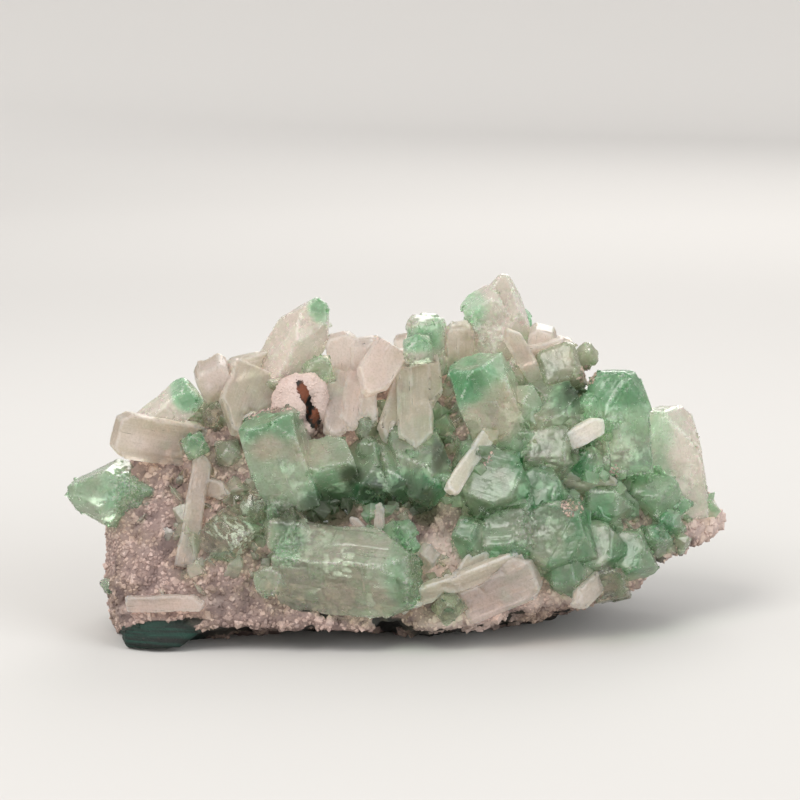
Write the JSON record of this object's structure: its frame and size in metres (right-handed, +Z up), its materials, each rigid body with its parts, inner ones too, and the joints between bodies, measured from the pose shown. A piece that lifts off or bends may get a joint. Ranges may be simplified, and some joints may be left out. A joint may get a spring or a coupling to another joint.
{
  "type": "apophyllite cluster",
  "caption": "Display specimen of green blocky apophyllite crystals and cream stilbite blades grown over a low slab of crusted basalt that stands on a flat foot.",
  "frame": {"origin": "on the ground, below the middle of the whole specimen's box", "axes": "+Z up from the flat foot, +X to the viewer's right along the long slab, and the face with the crystals looks along -Y"},
  "size_m": [0.1628, 0.0794, 0.0889],
  "materials": {
    "rock": "dull grainy crust, pinkish beige, with dark green-grey rock under it",
    "green_apophyllite": "glassy, cloudy, pale to deep green",
    "pale_apophyllite": "glassy, nearly colourless to milky",
    "stilbite": "pearly, cream to pale pink, finely striated"
  },
  "bodies": {
    "root": {"matrix": "rock", "apophyllite_front_block": "green_apophyllite", "apophyllite_left_end": "green_apophyllite", "apophyllite_left_giant": "green_apophyllite", "apophyllite_centre": "green_apophyllite", "apophyllite_right_barrel": "green_apophyllite", "apophyllite_horn": "pale_apophyllite", "apophyllite_peak": "pale_apophyllite", "apophyllite_right_end": "pale_apophyllite", "apophyllite_ridge_stub": "green_apophyllite", "apophyllite_ridge_yellow": "green_apophyllite", "apophyllite_ridge_window": "pale_apophyllite", "apophyllite_right_of_centre": "green_apophyllite", "apophyllite_middle": "green_apophyllite", "apophyllite_lower_right": "green_apophyllite", "apophyllite_bottom_clear": "pale_apophyllite", "apophyllite_right_middle": "green_apophyllite", "apophyllite_right_rhomb": "green_apophyllite", "apophyllite_right_small": "green_apophyllite", "apophyllite_hollow": "green_apophyllite", "apophyllite_above_block": "green_apophyllite", "apophyllite_bottom_small": "green_apophyllite", "apophyllite_left_clear": "pale_apophyllite", "apophyllite_left_small": "green_apophyllite", "apophyllite_left_chip": "green_apophyllite", "apophyllite_left_grey": "pale_apophyllite", "apophyllite_left_shoulder": "green_apophyllite", "apophyllite_left_side": "green_apophyllite", "apophyllite_back_left": "pale_apophyllite", "apophyllite_back_right": "green_apophyllite", "apophyllite_back_end": "pale_apophyllite", "stilbite_left_blade": "stilbite", "stilbite_left_plate": "stilbite", "stilbite_left_plates": "stilbite", "stilbite_low_blade": "stilbite", "stilbite_ridge_leaf": "stilbite", "stilbite_ridge_sheaf": "stilbite", "stilbite_ridge_middle": "stilbite", "stilbite_ridge_lump": "stilbite", "stilbite_ridge_slope": "stilbite", "stilbite_ridge_crossed": "stilbite", "stilbite_rod": "stilbite", "stilbite_long_blade": "stilbite", "stilbite_bottom_block": "stilbite", "stilbite_small_block": "stilbite", "stilbite_white_blade": "stilbite", "stilbite_right_bar": "stilbite", "stilbite_bottom_lens": "stilbite", "stilbite_spray": "stilbite", "stilbite_back_blades": "stilbite"}
  },
  "joints": []
}
